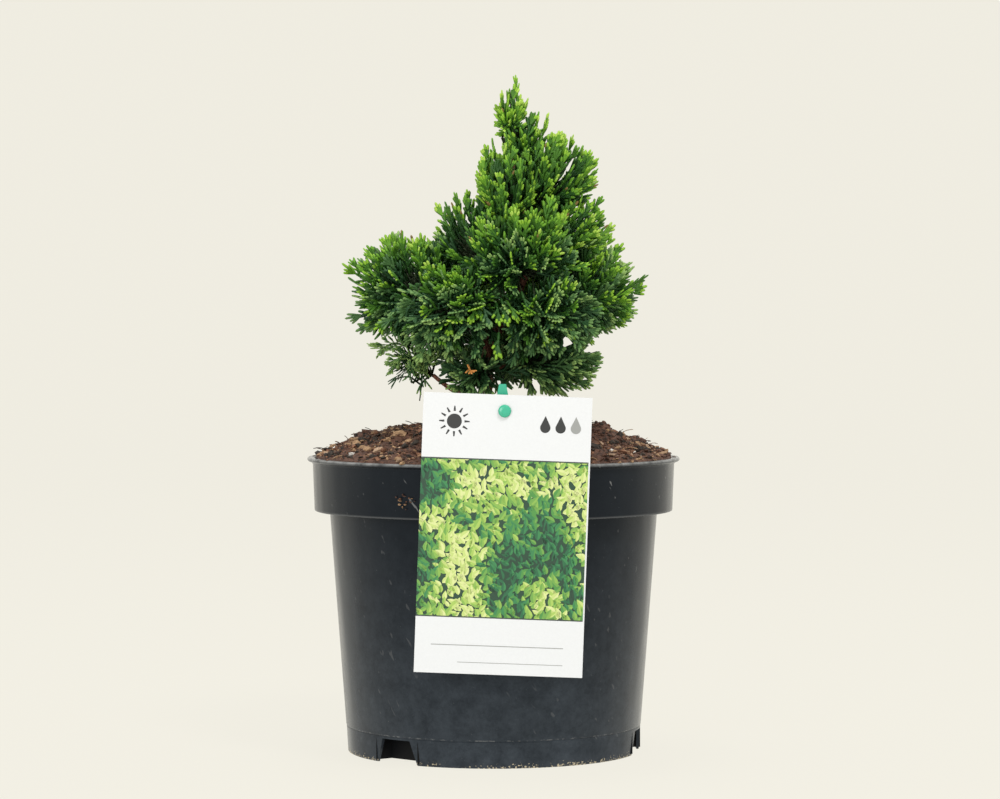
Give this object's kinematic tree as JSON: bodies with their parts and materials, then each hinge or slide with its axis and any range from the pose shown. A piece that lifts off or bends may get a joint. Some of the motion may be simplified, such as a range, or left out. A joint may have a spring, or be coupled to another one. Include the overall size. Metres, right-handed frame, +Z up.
{
  "type": "dwarf hinoki cypress in a nursery pot",
  "caption": "Young dwarf hinoki cypress with a leaning stem and cupped fan sprays, in a stepped nursery pot of soil with a plain hanging label.",
  "frame": {"origin": "centre of the part's box on the plane that the pot stands on, which is on the pot's axis to within 2 mm", "axes": "+Z up along the pot's axis, which is the part's longest extent; -Y is the front, where the label hangs; +X to the right seen from the front"},
  "size_m": [0.19, 0.1926, 0.3471],
  "materials": {
    "pot": "glossy black, scuffed",
    "soil": "matte brown peat and fibre",
    "card": "smooth printed plastic card",
    "pick": "satin teal",
    "bark": "rough fibrous red-brown bark",
    "foliage": "matte scale leaves, bright green tips"
  },
  "bodies": {
    "root": {"pot": "pot", "soil": "soil", "label_card": "card", "label_pick": "pick", "trunk": "bark", "bough_leader_right": "bark", "bough_top_right": "bark", "bough_top_left": "bark", "bough_top_back": "bark", "bough_upper_right": "bark", "bough_right_lobe": "bark", "bough_left_lobe": "bark", "bough_left_shoulder": "bark", "bough_front_centre": "bark", "bough_front_left": "bark", "bough_front_right": "bark", "bough_low_right": "bark", "bough_low_front": "bark", "bough_back_right": "bark", "bough_back_left": "bark", "bough_back_low": "bark", "bough_low_left": "bark", "mass_leader": "foliage", "mass_leader_right": "foliage", "mass_top_right": "foliage", "mass_top_left": "foliage", "mass_top_back": "foliage", "mass_upper_right": "foliage", "mass_right_lobe": "foliage", "mass_left_lobe": "foliage", "mass_left_shoulder": "foliage", "mass_front_centre": "foliage", "mass_front_left": "foliage", "mass_front_right": "foliage", "mass_low_right": "foliage", "mass_low_front": "foliage", "mass_back_right": "foliage", "mass_back_left": "foliage", "mass_back_low": "foliage", "mass_low_left": "foliage"}
  },
  "joints": []
}
